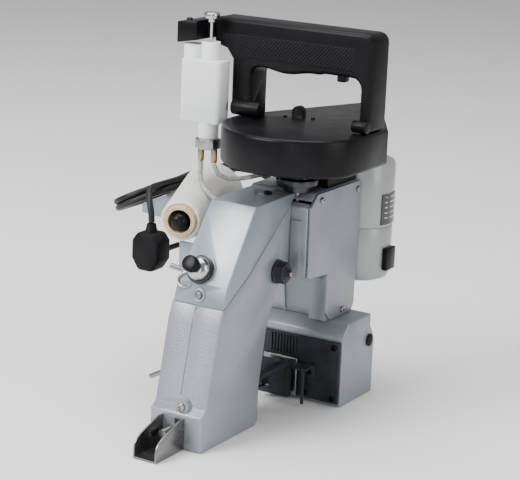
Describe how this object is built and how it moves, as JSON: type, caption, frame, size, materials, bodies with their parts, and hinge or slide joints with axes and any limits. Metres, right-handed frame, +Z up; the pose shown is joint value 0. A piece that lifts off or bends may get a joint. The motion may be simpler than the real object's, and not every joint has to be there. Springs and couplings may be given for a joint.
{
  "type": "portable bag closer",
  "caption": "Hand-held bag closer sewing machine with belt-driven chain-stitch head, carrying handle, thread cone, oil pot, motor and mains lead.",
  "frame": {"origin": "middle of the machine's underside, without its cord, on the surface that it stands on", "axes": "+Z up; +Y from the arm's toe and guard towards the motor; +X towards the flat side cover"},
  "size_m": [0.2539, 0.321, 0.3308],
  "materials": {
    "casting": "silver-grey paint over a die casting, satin",
    "cover_casting": "light blue-grey paint, satin",
    "steel": "machined",
    "chrome": "polished",
    "zinc": "zinc plated",
    "brass": "machined",
    "blackened": "blackened steel",
    "black_plastic": "moulded, satin",
    "pot_plastic": "translucent white polyethylene",
    "motor_paint": "light grey, semi-gloss",
    "tube_plastic": "clear grey tubing",
    "thread": "cream spun polyester",
    "cone_card": "kraft card",
    "rubber": "matt"
  },
  "bodies": {
    "machine": {"arm_casting": "casting", "gear_housing": "casting", "side_cover": "casting", "bed_casting": "casting", "front_cover": "cover_casting", "spool_bracket": "cover_casting", "needle_guard": "steel", "needle_plate": "steel", "bearing_hub": "steel", "tension_stud": "steel", "thread_guide": "steel", "spindle": "steel", "tension_cup": "chrome", "front_cover_screw": "zinc", "guard_screw": "zinc", "side_cover_screw_1": "zinc", "side_cover_screw_2": "zinc", "side_cover_screw_3": "zinc", "pot_nut": "zinc", "ferrule_left": "brass", "ferrule_right": "brass", "tension_discs": "blackened", "bed_plate": "blackened", "bed_plate_screw_1": "blackened", "bed_plate_screw_2": "blackened", "chain_cutter": "blackened", "pivot_bolt": "blackened", "belt_cover": "black_plastic", "belt_base": "black_plastic", "handle": "black_plastic", "oil_bracket": "black_plastic", "spindle_knob": "black_plastic", "rating_label": "black_plastic", "brush_holder": "black_plastic", "oil_pot": "pot_plastic", "motor_housing": "motor_paint", "motor_cap": "motor_paint", "oil_tube_left": "tube_plastic", "oil_tube_right": "tube_plastic", "thread_winding": "thread", "paper_cone": "cone_card", "bed_plug": "rubber", "drive_belt": "rubber", "cord_gland": "rubber", "power_cord": "rubber", "cord_hank": "rubber", "cord_tail": "rubber", "plug": "rubber"},
    "needle_bar_group": {"needle_bar": "steel", "needle": "chrome"},
    "lever_group": {"needle_lever": "casting"},
    "presser_group": {"presser_foot": "blackened"},
    "presser_lever_group": {"presser_lever": "steel"},
    "main_shaft_group": {"main_pulley": "casting"},
    "motor_shaft_group": {"motor_pulley": "steel"},
    "looper_group": {"looper": "steel"},
    "feed_group": {"feed_dog": "steel"},
    "tension_group": {"tension_knob": "black_plastic"},
    "trigger_group": {"trigger_button": "black_plastic"},
    "pump_group": {"oil_plunger": "chrome"}
  },
  "joints": [
    {"name": "needle_lever_swing", "type": "hinge", "parent": "machine", "child": "lever_group", "pos_m": [0.0107, -0.0088, 0.1266], "axis": [1, 0, 0], "range_deg": [-8.47, 0]},
    {"name": "needle_bar_slide", "type": "slide", "parent": "machine", "child": "needle_bar_group", "axis": [0, 1, 0], "range_m": [-0.022, 0]},
    {"name": "presser_lever_turn", "type": "hinge", "parent": "machine", "child": "presser_lever_group", "pos_m": [-0.0058, -0.0495, 0.052], "axis": [1, 0, 0], "range_deg": [0, 25]},
    {"name": "presser_foot_slide", "type": "slide", "parent": "machine", "child": "presser_group", "axis": [0, 1, 0], "range_m": [-0.01, 0], "stiffness_N_per_m": 400},
    {"name": "main_shaft_spin", "type": "hinge", "parent": "machine", "child": "main_shaft_group", "pos_m": [0.0447, 0.023, 0.23], "axis": [0, 0, 1], "continuous": true},
    {"name": "motor_shaft_spin", "type": "hinge", "parent": "machine", "child": "motor_shaft_group", "pos_m": [0.0502, 0.126, 0.23], "axis": [0, 0, 1], "continuous": true},
    {"name": "looper_swing", "type": "hinge", "parent": "machine", "child": "looper_group", "pos_m": [0.0547, 0.0625, 0.038], "axis": [0, 1, 0], "range_deg": [-8, 6]},
    {"name": "feed_dog_slide", "type": "slide", "parent": "machine", "child": "feed_group", "axis": [1, 0, 0], "range_m": [-0.002, 0.002]},
    {"name": "tension_knob_turn", "type": "hinge", "parent": "machine", "child": "tension_group", "pos_m": [0.0192, -0.0783, 0.137], "axis": [0, -0.88, 0.475], "range_deg": [-720, 720]},
    {"name": "trigger_press", "type": "slide", "parent": "machine", "child": "trigger_group", "axis": [0, 0, 1], "range_m": [0, 0.004], "stiffness_N_per_m": 500},
    {"name": "oil_plunger_press", "type": "slide", "parent": "machine", "child": "pump_group", "axis": [0, 0, -1], "range_m": [0, 0.012], "stiffness_N_per_m": 200}
  ],
  "couplings": [
    {"joint": "needle_bar_slide", "follows": "needle_lever_swing", "m_per_rad": 0.1488},
    {"joint": "presser_lever_turn", "follows": "presser_foot_slide", "rad_per_m": -43.6},
    {"joint": "motor_shaft_spin", "follows": "main_shaft_spin", "ratio": 4.5}
  ]
}
